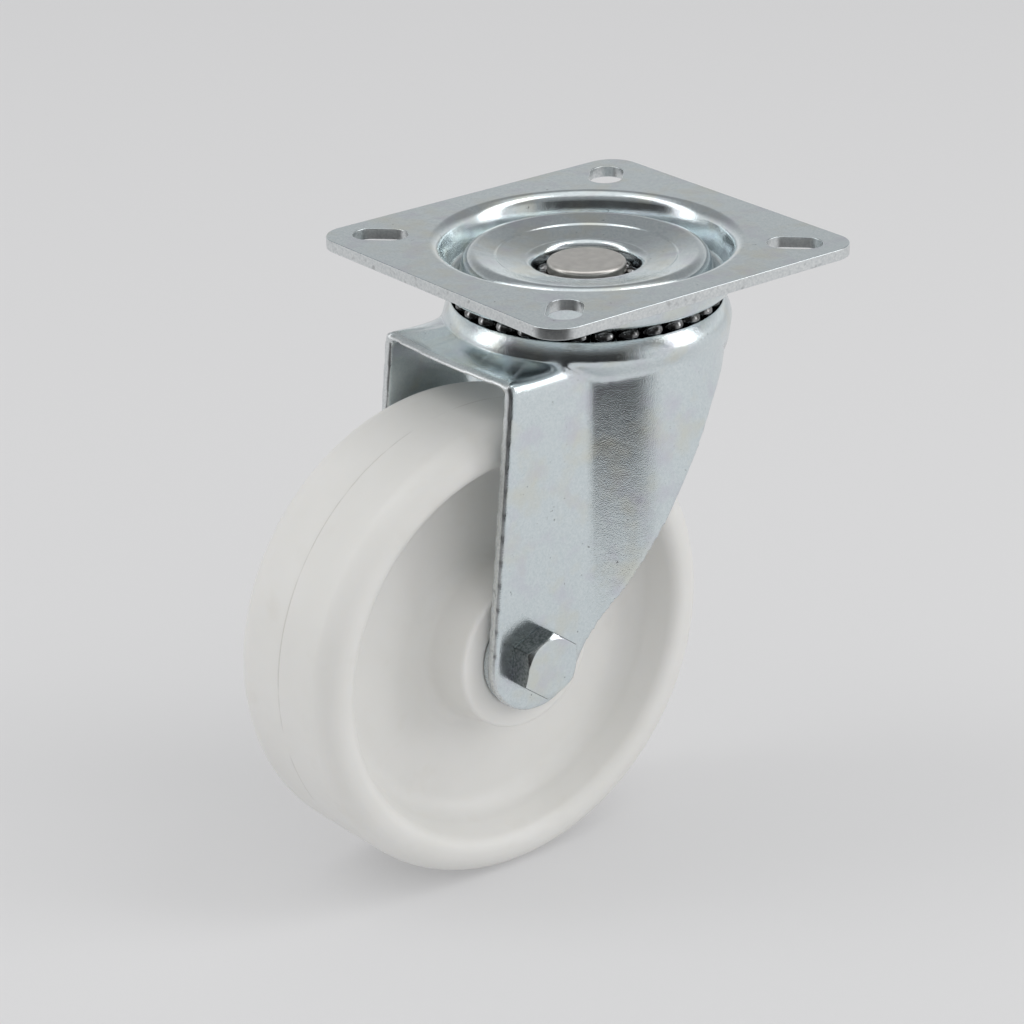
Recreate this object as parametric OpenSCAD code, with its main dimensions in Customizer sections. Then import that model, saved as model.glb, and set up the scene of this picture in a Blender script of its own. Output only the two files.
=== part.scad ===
// Swivel castor with a pressed steel plate and fork, two rings of balls and a one-piece plastic wheel.
// The origin is the middle of the plate's top face, on the swivel axis. +Z is up and +X is ahead:
// the wheel trails towards -X, and its axle runs along Y with the bolt's head at -Y.

/* [Wheel] */
// Diameter over the tread
wheel_d = 125; // [110:1:130]
// Width over the tread's side faces
wheel_w = 40; // [34:1:41]
// Length of the hub, from boss to boss
hub_length = 43; // [42:0.5:44]
// Diameter of the hub's boss
hub_d = 41; // [34:1:46]
// Thickness of the web between hub and rim
web_t = 13; // [8:1:18]
// Thickness of the rim, from the tread to the recess
rim_t = 10.7; // [10.5:0.1:14]
// Radius of the tread's shoulders
shoulder_r = 6.8; // [4:0.2:7]

/* [Layout] */
// Drop from the plate's top face to the axle
axle_drop = 98; // [94:1:110]
// Trail of the axle behind the swivel axis
trail = 39; // [34:1:42]

/* [Top plate] */
// Length of the plate along X
plate_x = 102; // [98:1:120]
// Width of the plate along Y
plate_y = 98; // [96:1:120]
// Thickness of the pressed sheet of plate and fork
sheet_t = 3; // [2.5:0.1:3.2]
// Radius of the plate's corners
plate_corner_r = 8; // [4:0.5:12]
// Distance between the fixing slots' middles along X
slot_pitch_x = 76; // [74:0.5:78]
// Distance between the fixing slots' middles along Y
slot_pitch_y = 75; // [74:0.5:77]
// Width of a fixing slot
slot_w = 9; // [6.5:0.5:10]
// Length of a fixing slot over its round ends
slot_length = 14.5; // [12:0.5:16]

/* [Swivel head] */
// Radius at which the flat plate turns down into the pressed ring
lip_r = 40.8; // [40:0.1:41.5]
// Depth of the pressed ring's groove below the top face
groove_depth = 9.6; // [9:0.1:10]
// Diameter of the large balls
main_ball_d = 6.35; // [6:0.05:6.4]
// Number of large balls
main_ball_count = 31; // [20:1:31]
// Radius of the large balls' circle
main_ball_circle_r = 31.8; // [31.6:0.1:32]
// Diameter of the small balls round the king pin
head_ball_d = 4.76; // [4:0.01:4.8]
// Number of small balls
head_ball_count = 14; // [8:1:14]
// Radius of the small balls' circle
head_ball_circle_r = 11.4; // [11.3:0.1:11.6]
// Diameter of the king pin's head
pin_head_d = 20.6; // [19:0.1:21]

/* [Fork] */
// Outer radius of the fork's round crown
crown_r = 37.6; // [37.2:0.1:38.2]
// Distance between the legs' inner faces
leg_gap = 46.6; // [46:0.1:48]
// Radius of the leg's round end
leg_end_r = 14.2; // [13:0.1:16]
// Radius of the upright bulge that stiffens each leg
bulge_r = 30; // [29:0.5:31]
// Outer radius of the fold between deck and leg
fold_r = 5; // [4:0.5:6]

/* [Axle] */
// Diameter of the axle bolt
bolt_d = 10; // [8:0.5:10]
// Width of the bolt's hexagon across its flats
bolt_flats = 16; // [14:0.5:17]
// Height of the bolt's head
bolt_head_h = 6.4; // [5.5:0.1:7]
// Length of the bolt under its head
bolt_length = 70; // [68:1:72]
// Outer diameter of the steel tube that the wheel runs on
tube_d = 15; // [14:0.5:16]
// Diameter of a bearing roller
roller_d = 4; // [3.5:0.1:4]
// Number of bearing rollers
roller_count = 11; // [8:1:11]

/* [Hidden] */

$fn = 96;
// A cutter passes this far beyond the faces that it opens
pass = 1;
// Shapes that make up one solid run into each other by this much
weld = 0.5;

// Plate: the ring's walls lean by this angle from upright, and its bends follow the sheet
wall_lean = 15;
lip_inner_bend_r = 0.2;
lip_bend_r = sheet_t + lip_inner_bend_r;
groove_bend_r = 1.6;
groove_mid_z = -groove_depth + groove_bend_r;
wall_run = tan(wall_lean);
lip_end = [lip_r - lip_bend_r * cos(wall_lean), -lip_bend_r + lip_bend_r * sin(wall_lean)];
groove_start_z = groove_mid_z - groove_bend_r * sin(wall_lean);
groove_start_r = lip_end[0] - (lip_end[1] - groove_start_z) * wall_run;
groove_r = groove_start_r - groove_bend_r * cos(wall_lean);
groove_in_r = groove_r - groove_bend_r * cos(wall_lean);

// Plate: flat metal that is turned together with the pressed ring
ring_flat = 4;

// Plate: the raised ring inside the groove, and the shallow dish inside that
ridge_bend_r = sheet_t;
ridge_top_z = -2.7;
ridge_mid_z = ridge_top_z - ridge_bend_r;
ridge_start_z = ridge_mid_z + ridge_bend_r * sin(wall_lean);
ridge_start_r = groove_in_r - (ridge_start_z - groove_start_z) * wall_run;
ridge_r = ridge_start_r - ridge_bend_r * cos(wall_lean);
dish_slope = 11.5;
crease_r = 23.5;
crease_run = 0.4;
crease_h = 0.4;
crease_drop = 1.1;
dish_out = [crease_r + crease_run / 2, ridge_top_z - crease_drop];
dish_in = [crease_r - crease_run / 2, dish_out[1] - crease_h];

// Balls: the plate's tracks keep the larger clearances, the fork's and the pin's tracks the small one
main_track_clear = 0.3;
head_track_clear = 0.15;
seat_clear = 0.05;
main_ball_z = -15.4;
head_ball_z = -10.6;
main_race_r = main_ball_d / 2 + main_track_clear;
head_race_r = head_ball_d / 2 + head_track_clear;
crown_race_r = main_ball_d / 2 + seat_clear;
pin_race_r = head_ball_d / 2 + seat_clear;
// Each ring has a ball at this angle from ahead
main_ball_start = -99;
head_ball_start = -60;

// Plate: the cup in its middle that holds the small balls, and whose floor the press has thinned
cup_r = head_ball_circle_r + head_race_r;
cup_bend_r = 2.2;
cup_top_z = -5.4;
cup_hole_r = 10.3;
cup_thinning = 0.3;
cup_outer_r = cup_r + sheet_t;
cup_corner_r = 3;
cup_floor_z = head_ball_z - head_race_r;
cup_under_z = cup_floor_z - sheet_t + cup_thinning;

// King pin
pin_top_z = -5.6;
pin_edge_r = 1;
centre_mark_r = 0.7;
centre_mark_depth = 0.3;
pin_neck_r = 8.6;
pin_shank_r = 7;
pin_head_low_z = -8.2;
pin_cone_h = 3.4;
rivet_r = 10;
rivet_h = 3;
rivet_round_r = 2;
pin_washer_t = 2.5;
pin_washer_r = 14;

// Crown of the fork
centre_top_z = -17.5;
crest_z = -15.1;
crest_r = 2;
crest_start = 120;
deck_top_z = -20;
deck_under_z = deck_top_z - sheet_t;
centre_under_z = centre_top_z - sheet_t;
crown_centre_r = 26;
crown_step = 3;
crown_track_in_r = crown_centre_r + crown_step;
foot_r = 2;
rivet_z = centre_under_z - pin_washer_t;

// Legs of the fork
leg_in_y = leg_gap / 2;
leg_out_y = leg_in_y + sheet_t;
bulge_x = 2;
bulge_y = 6;
valley_r = 10;
valley_y = leg_out_y + valley_r;
valley_x = bulge_x - sqrt(pow(bulge_r + valley_r, 2) - pow(valley_y - bulge_y, 2));
// The neck starts under the crown's wall and draws in to a smaller circle further ahead
neck_top_z = deck_top_z - 0.5;
neck_drop = 7.5;
neck_ahead = 3.5;
neck_r = crown_r - 3.6;
neck_skin_share = 1.2;
skirt_drop = 6.5;
skirt_z = deck_top_z - skirt_drop;
// Ahead, the skirt's lower edge runs level across this half width and slants down from there to the legs
skirt_level_half = 18.5;
skirt_slant_run = 8;
skirt_slant_drop = 7.5;
leg_notch_r = 32;
rear_edge_angle = 31.5;
front_top_x = -46.1;
front_bow = 1.5;
front_bow_r = (pow(leg_out_y, 2) + pow(front_bow, 2)) / (2 * front_bow);
rear_edge_out = [cos(rear_edge_angle), -sin(rear_edge_angle)];
axle_at = [-trail, -axle_drop];
rear_edge_foot = axle_at + leg_end_r * rear_edge_out;
// The notch touches the rear edge and the skirt's lower edge
notch_mid_z = skirt_z - leg_notch_r;
notch_mid_x = rear_edge_foot[0]
    + (leg_notch_r - (notch_mid_z - rear_edge_foot[1]) * rear_edge_out[1]) / rear_edge_out[0];
notch_mid = [notch_mid_x, notch_mid_z];
notch_touch = notch_mid - leg_notch_r * rear_edge_out;
// The front edge runs from the deck to the leg's round end, which it touches
front_top = [front_top_x, deck_under_z];
front_run = axle_at - front_top;
front_lean = asin(leg_end_r / norm(front_run)) - atan2(front_run[0], -front_run[1]);
front_foot = axle_at + leg_end_r * [-cos(front_lean), sin(front_lean)];

// Wheel
wheel_r = wheel_d / 2;
wheel_half_w = wheel_w / 2;
hub_half = hub_length / 2;
recess_r = wheel_r - rim_t;
lip_round_r = 3.5;
recess_draft = 1.5;
recess_fillet_r = 6;
hub_fillet_r = 4;
hub_draft = 1;
hub_edge_r = 0.8;

// Bearing: the rollers run between the tube and the sleeve
bolt_fit = 0.05;
leg_hole_clear = 0.2;
tube_clear = 0.1;
bolt_r = bolt_d / 2 - bolt_fit;
leg_hole_r = bolt_d / 2 + leg_hole_clear;
tube_bore_r = bolt_d / 2 + tube_clear;
tube_r = tube_d / 2;
roller_clear = 0.04;
roller_mid_r = tube_r + roller_d / 2 + roller_clear;
sleeve_in_r = roller_mid_r + roller_d / 2 + roller_clear;
sleeve_t = 1.2;
sleeve_out_r = sleeve_in_r + sleeve_t;
cage_play = 0.35;
cap_t = 2;
cap_r = 13.4;
cap_clear = 0.3;
cap_bore_r = tube_r + cap_clear;
sleeve_half = hub_half - cap_t;
cage_end_play = 0.4;
cage_half = sleeve_half - cage_end_play;
cage_rim = 1.6;
roller_play = 0.1;
cage_slot_r = roller_d / 2 + roller_play;
cage_slot_half = cage_half - cage_rim;
roller_half = cage_slot_half - roller_play;
washer_r = 13.8;
washer_clear = 0.1;
washer_play = 0.2;
washer_t = leg_in_y - hub_half - washer_play;

// Axle fasteners
hex_turn = 23;
// The bolt's and the nut's corners are turned off at this angle, down to this share of their flats
hex_bevel_angle = 30;
hex_face_share = 0.95;
nut_flats = 17;
nut_h = 10;
nut_hex_h = 7.2;
nut_collar_r = 7.9;
nut_washer_t = 2;
nut_washer_r = 10;
nut_washer_clear = 0.25;
nut_start_y = leg_out_y + nut_washer_t;
nut_end_y = nut_start_y + nut_h;
insert_t = 1.8;
insert_r = 6.4;
insert_lip = 0.5;
insert_end_y = nut_end_y - insert_lip;
bolt_tip_y = bolt_length - leg_out_y;
bolt_tip_bevel = 1;

// Points along a round stretch of a section
function arc(mid, r, from, to, steps = 6) =
    [for (i = [0:steps]) let (a = from + (to - from) * i / steps) mid + r * [cos(a), sin(a)]];

// Turns a section drawn as [radius, distance along Y] round the axle
module round_axle() {
    translate([-trail, 0, -axle_drop])
        rotate([-90, 0, 0])
            rotate_extrude()
                children();
}

// A straight round bar or hole along Y, centred on the axle
module axle_cylinder(r, y_from, y_to) {
    translate([-trail, y_from, -axle_drop])
        rotate([-90, 0, 0])
            cylinder(r = r, h = y_to - y_from);
}

// A plain ring round the axle
module axle_ring(r_out, r_in, y_from, y_to) {
    difference() {
        axle_cylinder(r_out, y_from, y_to);
        axle_cylinder(r_in, y_from - pass, y_to + pass);
    }
}

// A hexagonal block along Y, with its corners turned off at the low end and, where asked, at the high
module axle_hexagon(flats, y_from, y_to, bevel_high) {
    height = y_to - y_from;
    corner_r = flats / sqrt(3);
    flat_r = flats / 2 * hex_face_share;
    out_r = corner_r + pass;
    bevel_h = (out_r - flat_r) * tan(hex_bevel_angle);
    high_end = bevel_high ? [[out_r, height - bevel_h], [flat_r, height]] : [[out_r, height]];
    translate([-trail, y_from, -axle_drop])
        rotate([-90, 0, 0])
            intersection() {
                rotate([0, 0, -hex_turn])
                    cylinder(r = corner_r, h = height, $fn = 6);
                rotate_extrude()
                    polygon(concat([[0, 0], [flat_r, 0], [out_r, bevel_h]], high_end, [[0, height]]));
            }
}

// One ring of loose balls
module ball_ring(ball_d, circle_r, height, count, start) {
    for (i = [0:count - 1])
        rotate([0, 0, start + 360 * i / count])
            translate([circle_r, 0, height])
                sphere(d = ball_d, $fn = 24);
}

// Section through the plate's pressed ring, dish and cup: the underside keeps the sheet's thickness
module plate_section() {
    top = concat(
        [[lip_r + ring_flat, 0]],
        arc([lip_r, -lip_bend_r], lip_bend_r, 90, 180 - wall_lean),
        arc([groove_r, groove_mid_z], groove_bend_r, -wall_lean, wall_lean - 180),
        arc([ridge_r, ridge_mid_z], ridge_bend_r, wall_lean, 90 + dish_slope),
        [dish_out, dish_in],
        arc([cup_r + cup_bend_r, cup_top_z - cup_bend_r], cup_bend_r, 90 - dish_slope, 180),
        arc([head_ball_circle_r, head_ball_z], head_race_r, 0, -90)
    );
    dish_under = dish_in - [0, sheet_t];
    under = concat(
        [[cup_hole_r, cup_floor_z], [cup_hole_r, cup_under_z]],
        arc([cup_outer_r - cup_corner_r, cup_under_z + cup_corner_r], cup_corner_r, -90, 0),
        [[cup_outer_r, dish_under[1] - (dish_under[0] - cup_outer_r) * tan(dish_slope)]],
        [dish_under, dish_out - [0, sheet_t], [ridge_r, ridge_mid_z]],
        arc([groove_r, groove_mid_z], groove_bend_r + sheet_t, wall_lean - 180, -wall_lean, 10),
        arc([lip_r, -lip_bend_r], lip_inner_bend_r, 180 - wall_lean, 90, 2),
        [[lip_r + ring_flat, -sheet_t]]
    );
    difference() {
        polygon(concat(top, under));
        translate([main_ball_circle_r, main_ball_z])
            circle(r = main_race_r);
    }
}

// Outline of the flat plate with its four slots, which point at the swivel axis
module plate_outline() {
    difference() {
        translate([plate_corner_r - plate_x / 2, plate_corner_r - plate_y / 2])
            rounded_rectangle(plate_x - 2 * plate_corner_r, plate_y - 2 * plate_corner_r, plate_corner_r);
        circle(r = lip_r + ring_flat - pass);
        for (sx = [-1, 1], sy = [-1, 1])
            translate([sx * slot_pitch_x / 2, sy * slot_pitch_y / 2])
                rotate(sx * sy * 45)
                    slot_outline();
    }
}

// A rectangle with round corners, whose corner circles stand on its own corners
module rounded_rectangle(x, y, r) {
    translate([0, -r])
        square([x, y + 2 * r]);
    translate([-r, 0])
        square([x + 2 * r, y]);
    for (cx = [0, x], cy = [0, y])
        translate([cx, cy])
            circle(r = r);
}

// A slot with round ends, lying along X
module slot_outline() {
    half = (slot_length - slot_w) / 2;
    square([2 * half, slot_w], center = true);
    for (s = [-1, 1])
        translate([s * half, 0])
            circle(d = slot_w);
}

// Fixing plate, pressed from one sheet: a flat rim with slots, a ball track and a middle cup
module top_plate() {
    color("lightsteelblue") {
        union() {
            translate([0, 0, -sheet_t])
                linear_extrude(sheet_t)
                    plate_outline();
            rotate_extrude()
                plate_section();
        }
    }
}

// Large balls that carry the load between plate and fork
module main_balls() {
    color("dimgray")
        ball_ring(main_ball_d, main_ball_circle_r, main_ball_z, main_ball_count, main_ball_start);
}

// Small balls under the king pin's head
module head_balls() {
    color("dimgray")
        ball_ring(head_ball_d, head_ball_circle_r, head_ball_z, head_ball_count, head_ball_start);
}

// King pin: its head holds the small balls down, and its end is riveted under the crown
module kingpin() {
    head_r = pin_head_d / 2;
    tip_z = rivet_z - rivet_h;
    color("rosybrown")
        rotate_extrude()
            difference() {
                polygon(concat(
                    [[0, pin_top_z - centre_mark_depth], [centre_mark_r, pin_top_z]],
                    arc([head_r - pin_edge_r, pin_top_z - pin_edge_r], pin_edge_r, 90, 0, 4),
                    [[head_r, pin_head_low_z], [pin_neck_r, pin_head_low_z - pin_cone_h]],
                    [[pin_neck_r, centre_top_z], [pin_shank_r, centre_top_z]],
                    [[pin_shank_r, rivet_z], [rivet_r, rivet_z]],
                    arc([rivet_r - rivet_round_r, tip_z + rivet_round_r], rivet_round_r, 0, -90, 4),
                    [[0, tip_z]]
                ));
                translate([head_ball_circle_r, head_ball_z])
                    circle(r = pin_race_r);
            }
}

// Washer under the crown, on which the king pin's end is spread
module pin_washer() {
    color("silver")
        difference() {
            translate([0, 0, rivet_z])
                cylinder(r = pin_washer_r, h = pin_washer_t);
            translate([0, 0, rivet_z - pass])
                cylinder(r = pin_shank_r, h = pin_washer_t + 2 * pass);
        }
}

// Section through the fork's crown: flat centre, ball track and rolled rim
module crown_section() {
    rim_mid_r = crown_r - crest_r;
    difference() {
        polygon(concat(
            [[pin_shank_r, centre_under_z], [pin_shank_r, centre_top_z]],
            [[main_ball_circle_r, centre_top_z]],
            [[main_ball_circle_r, crest_z - crest_r]],
            arc([rim_mid_r, crest_z - crest_r], crest_r, crest_start, 0),
            [[crown_r, neck_top_z], [crown_r - (neck_top_z - deck_under_z), deck_under_z]],
            [[crown_track_in_r, deck_under_z]],
            [[crown_centre_r, centre_under_z]]
        ));
        translate([main_ball_circle_r, main_ball_z])
            circle(r = crown_race_r);
    }
}

// Plan of the fork's body inside its outer skin, moved in by the depth
module fork_plan(depth) {
    skin_y = leg_out_y - depth;
    difference() {
        union() {
            translate([valley_x, -skin_y])
                square([bulge_x - valley_x, 2 * skin_y]);
            for (s = [-1, 1]) {
                translate([bulge_x, s * bulge_y])
                    circle(r = bulge_r - depth);
                polygon([[valley_x, 0], [bulge_x, s * bulge_y], [valley_x, s * valley_y]]);
            }
        }
        for (s = [-1, 1])
            translate([valley_x, s * valley_y])
                circle(r = valley_r + depth);
    }
}

// Upright body of the fork inside its outer skin, moved in by the depth
module fork_body(depth) {
    low_z = -axle_drop - leg_end_r - pass - depth;
    top_z = deck_top_z - depth;
    translate([0, 0, low_z])
        linear_extrude(top_z - low_z)
            fork_plan(depth);
    // Neck, where the crown's wall draws in to the legs: its skin is measured level, not square to it
    across = depth * neck_skin_share;
    hull() {
        translate([0, 0, neck_top_z])
            cylinder(r = crown_r - across, h = weld);
        translate([neck_ahead, 0, neck_top_z - neck_drop])
            cylinder(r = neck_r - across, h = weld);
    }
    // Deck and flat legs, one sheet folded down on both sides
    translate([valley_x, 0, 0])
        rotate([90, 0, -90])
            linear_extrude(2 * crown_r)
                deck_profile(depth);
}

// Deck and legs seen from the front, inside their outer skin moved in by the depth
module deck_profile(depth) {
    half = leg_out_y - depth;
    top = deck_top_z - depth;
    r = fold_r - depth;
    low = -axle_drop - leg_end_r - pass - depth;
    translate([-half, low])
        square([2 * half, top - r - low]);
    translate([r - half, low])
        square([2 * (half - r), top - low]);
    for (s = [-1, 1])
        translate([s * (half - r), top - r])
            circle(r = r);
}

// Side outline of the fork: what the sheet keeps once its edges are cut
module fork_side() {
    high = crest_z + pass;
    reach = crown_r + pass;
    difference() {
        polygon([
            [front_top_x - 2 * front_bow, high],
            [front_top_x - 2 * front_bow, deck_under_z],
            front_top,
            front_foot,
            axle_at,
            rear_edge_foot,
            notch_touch,
            notch_mid,
            [notch_mid[0], skirt_z],
            [max(reach, notch_mid[0]), skirt_z],
            [max(reach, notch_mid[0]), high]
        ]);
        translate(notch_mid)
            circle(r = leg_notch_r);
    }
    translate(axle_at)
        circle(r = leg_end_r);
}

// Fork: crown, deck and both legs, pressed and folded from one sheet
module fork() {
    color("lightsteelblue")
        difference() {
            union() {
                intersection() {
                    difference() {
                        fork_body(0);
                        fork_body(sheet_t);
                        translate([0, 0, deck_under_z - pass])
                            cylinder(r = crown_track_in_r + pass, h = sheet_t + 2 * pass);
                    }
                    rotate([90, 0, 0])
                        linear_extrude(4 * crown_r, center = true)
                            fork_side();
                    deck_front_trim();
                }
                rotate_extrude()
                    crown_section();
                deck_foot();
            }
            translate([0, 0, main_ball_z - main_ball_d])
                cylinder(r = pin_shank_r, h = 2 * main_ball_d);
            axle_cylinder(leg_hole_r, -leg_out_y - pass, leg_out_y + pass);
            skirt_front_cut();
        }
}

// Cuts the skirt level across its front, so that it hangs no lower than at its sides
module skirt_front_cut() {
    low_half = skirt_level_half + skirt_slant_run;
    rotate([90, 0, 90])
        linear_extrude(2 * crown_r)
            polygon([
                [-skirt_level_half, skirt_z],
                [skirt_level_half, skirt_z],
                [low_half, skirt_z - skirt_slant_drop],
                [-low_half, skirt_z - skirt_slant_drop]
            ]);
}

// Keeps the legs whole and lets the deck's front edge bow out a little
module deck_front_trim() {
    translate([front_top_x - front_bow + front_bow_r, 0, deck_under_z])
        cylinder(r = front_bow_r, h = -deck_under_z, $fn = 360);
    translate([-2 * crown_r, -2 * crown_r, deck_under_z - 2 * axle_drop])
        cube([4 * crown_r, 4 * crown_r, 2 * axle_drop]);
}

// Hollow fillet where the crown's wall stands on the deck
module deck_foot() {
    intersection() {
        rotate_extrude()
            difference() {
                translate([crown_r - weld, deck_top_z - weld])
                    square([foot_r + weld, foot_r + weld]);
                translate([crown_r + foot_r, deck_top_z + foot_r])
                    circle(r = foot_r);
            }
        translate([-2 * crown_r, -leg_in_y, deck_under_z])
            cube([2 * crown_r + valley_x, 2 * leg_in_y, 2 * sheet_t]);
    }
}

// Half of the wheel's section, from the bore to the tread, as [radius, distance from the middle]
function wheel_half_section() =
    let (
        boss_r = hub_d / 2,
        web_half = web_t / 2,
        boss_foot_mid = [boss_r + hub_draft + hub_fillet_r, web_half + hub_fillet_r],
        rim_foot_mid = [recess_r - recess_draft - recess_fillet_r, web_half + recess_fillet_r],
        lip_mid = [recess_r + lip_round_r, wheel_half_w - lip_round_r],
        shoulder_mid = [wheel_r - shoulder_r, wheel_half_w - shoulder_r]
    )
    concat(
        [[sleeve_out_r, sleeve_half], [cap_r, sleeve_half], [cap_r, hub_half]],
        arc([boss_r - hub_edge_r, hub_half - hub_edge_r], hub_edge_r, 90, 0, 3),
        arc(boss_foot_mid, hub_fillet_r, 180, 270),
        arc(rim_foot_mid, recess_fillet_r, 270, 360),
        arc(lip_mid, lip_round_r, 180, 90),
        arc(shoulder_mid, shoulder_r, 90, 0, 9)
    );

// Wheel, moulded in one piece with its tread
module wheel() {
    half = wheel_half_section();
    last = len(half) - 1;
    color("whitesmoke")
        round_axle()
            polygon(concat(half, [for (i = [last:-1:0]) [half[i][0], -half[i][1]]]));
}

// Steel sleeve pressed into the hub, the rollers' outer track
module bearing_sleeve() {
    color("silver")
        axle_ring(sleeve_out_r, sleeve_in_r, -sleeve_half, sleeve_half);
}

// Plastic cage that spaces the rollers
module roller_cage() {
    color("darkslategray")
        difference() {
            axle_ring(sleeve_in_r - cage_play, tube_r + cage_play, -cage_half, cage_half);
            for (i = [0:roller_count - 1])
                at_roller(i)
                    cylinder(r = cage_slot_r, h = 2 * cage_slot_half, center = true);
        }
}

// Puts a child, standing along Z, where a roller lies
module at_roller(i) {
    translate([-trail, 0, -axle_drop])
        rotate([0, 360 * i / roller_count, 0])
            translate([roller_mid_r, 0, 0])
                rotate([90, 0, 0])
                    children();
}

// Steel rollers between tube and sleeve
module rollers() {
    color("silver")
        for (i = [0:roller_count - 1])
            at_roller(i)
                cylinder(d = roller_d, h = 2 * roller_half, center = true, $fn = 24);
}

// Plastic cap that closes one end of the hub, on the side given
module bearing_cap(side) {
    low_y = side > 0 ? sleeve_half : -hub_half;
    color("gray")
        axle_ring(cap_r, cap_bore_r, low_y, low_y + cap_t);
}

module near_cap() {
    bearing_cap(-1);
}

module far_cap() {
    bearing_cap(1);
}

// Steel washer between the hub's end and the leg, on the side given
module thrust_washer(side) {
    low_y = side > 0 ? leg_in_y - washer_t : -leg_in_y;
    color("silver")
        axle_ring(washer_r, tube_r + washer_clear, low_y, low_y + washer_t);
}

module near_washer() {
    thrust_washer(-1);
}

module far_washer() {
    thrust_washer(1);
}

// Steel tube clamped between the legs, on which the rollers run
module axle_tube() {
    color("silver")
        axle_ring(tube_r, tube_bore_r, -leg_in_y, leg_in_y);
}

// Axle bolt with a hexagonal head
module axle_bolt() {
    bevel_y = bolt_tip_y - bolt_tip_bevel;
    color("lightgray")
        union() {
            axle_hexagon(bolt_flats, -leg_out_y - bolt_head_h, -leg_out_y, false);
            axle_cylinder(bolt_r, -leg_out_y - weld, bevel_y);
            translate([-trail, bevel_y, -axle_drop])
                rotate([-90, 0, 0])
                    cylinder(r1 = bolt_r, r2 = bolt_r - bolt_tip_bevel, h = bolt_tip_bevel);
        }
}

// Washer under the nut
module nut_washer() {
    color("silver")
        axle_ring(nut_washer_r, bolt_d / 2 + nut_washer_clear, leg_out_y, nut_start_y);
}

// Self-locking nut: a hexagon with a round collar
module lock_nut() {
    hex_end_y = nut_start_y + nut_hex_h;
    color("lightgray")
        difference() {
            union() {
                axle_hexagon(nut_flats, nut_start_y, hex_end_y, true);
                axle_cylinder(nut_collar_r, hex_end_y - pass, nut_end_y);
            }
            axle_cylinder(bolt_d / 2, nut_start_y - pass, nut_end_y + pass);
            axle_cylinder(insert_r, insert_end_y - insert_t, insert_end_y);
        }
}

// Plastic ring that locks the nut on the bolt's thread
module nut_insert() {
    color("royalblue")
        axle_ring(insert_r, bolt_d / 2, insert_end_y - insert_t, insert_end_y);
}

top_plate();
main_balls();
head_balls();
kingpin();
fork();
pin_washer();
wheel();
bearing_sleeve();
roller_cage();
rollers();
near_cap();
far_cap();
near_washer();
far_washer();
axle_tube();
axle_bolt();
nut_washer();
lock_nut();
nut_insert();
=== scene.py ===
import math

import bmesh
import bpy
from mathutils import Matrix, Vector


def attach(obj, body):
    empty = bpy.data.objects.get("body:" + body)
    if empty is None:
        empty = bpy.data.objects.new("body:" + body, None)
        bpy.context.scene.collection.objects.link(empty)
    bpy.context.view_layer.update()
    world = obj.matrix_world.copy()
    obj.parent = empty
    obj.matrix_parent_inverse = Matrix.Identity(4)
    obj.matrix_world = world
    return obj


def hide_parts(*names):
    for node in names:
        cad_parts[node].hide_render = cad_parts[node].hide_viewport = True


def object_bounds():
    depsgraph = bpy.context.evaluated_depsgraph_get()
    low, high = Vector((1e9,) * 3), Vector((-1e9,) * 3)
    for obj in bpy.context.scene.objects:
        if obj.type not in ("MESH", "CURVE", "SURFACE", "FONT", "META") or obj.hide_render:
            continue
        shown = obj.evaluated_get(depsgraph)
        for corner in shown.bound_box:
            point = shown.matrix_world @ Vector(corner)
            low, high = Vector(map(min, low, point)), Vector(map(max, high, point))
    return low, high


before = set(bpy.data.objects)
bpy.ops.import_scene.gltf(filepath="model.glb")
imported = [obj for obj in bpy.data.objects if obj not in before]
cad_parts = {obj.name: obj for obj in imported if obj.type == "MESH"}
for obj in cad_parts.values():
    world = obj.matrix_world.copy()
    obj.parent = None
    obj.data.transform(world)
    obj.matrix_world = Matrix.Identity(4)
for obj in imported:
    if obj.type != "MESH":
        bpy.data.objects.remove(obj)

# Metres, in the castor's own frame: the origin is the middle of the plate's top face, +Z is up,
# the wheel trails towards -X, and the axle lies along Y with the bolt's head at -Y.
cad_low, cad_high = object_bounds()
mm = 0.001


# Top plate
# The fixing plate is 3 mm steel sheet, blanked with four slots and pressed in one stroke with its ball
# track and middle cup, then zinc plated. The blanked edges stay rougher than the rolled faces.
def mesh_copy(node, name):
    """A merged copy of a CAD node's mesh, as an object of its own."""
    piece = bpy.data.objects.new(name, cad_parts[node].data.copy())
    bpy.context.scene.collection.objects.link(piece)
    form = bmesh.new()
    form.from_mesh(piece.data)
    bmesh.ops.remove_doubles(form, verts=form.verts, dist=0.001 * mm)
    form.to_mesh(piece.data)
    form.free()
    piece.data.materials.clear()
    return piece


def apply_modifiers(piece):
    """Turns what the modifiers make into the piece's own mesh."""
    graph = bpy.context.evaluated_depsgraph_get()
    done = bpy.data.meshes.new_from_object(piece.evaluated_get(graph))
    old = piece.data
    piece.modifiers.clear()
    piece.data = done
    bpy.data.meshes.remove(old)


def round_edges(piece, width, angle=30):
    """Rounds the edges that turn sharper than the angle, in degrees, and smooths the rest."""
    form = bmesh.new()
    form.from_mesh(piece.data)
    even_enough = math.radians(0.5)
    bmesh.ops.dissolve_limit(form, angle_limit=even_enough, verts=form.verts, edges=form.edges)
    form.to_mesh(piece.data)
    form.free()
    edges = piece.modifiers.new("Edges", "BEVEL")
    edges.limit_method = "ANGLE"
    edges.angle_limit = math.radians(angle)
    edges.width = width
    edges.segments = 3
    edges.use_clamp_overlap = False
    piece.data.shade_smooth()
    even = piece.modifiers.new("Normals", "WEIGHTED_NORMAL")
    even.mode = "FACE_AREA"
    even.weight = 100
    apply_modifiers(piece)


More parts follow.
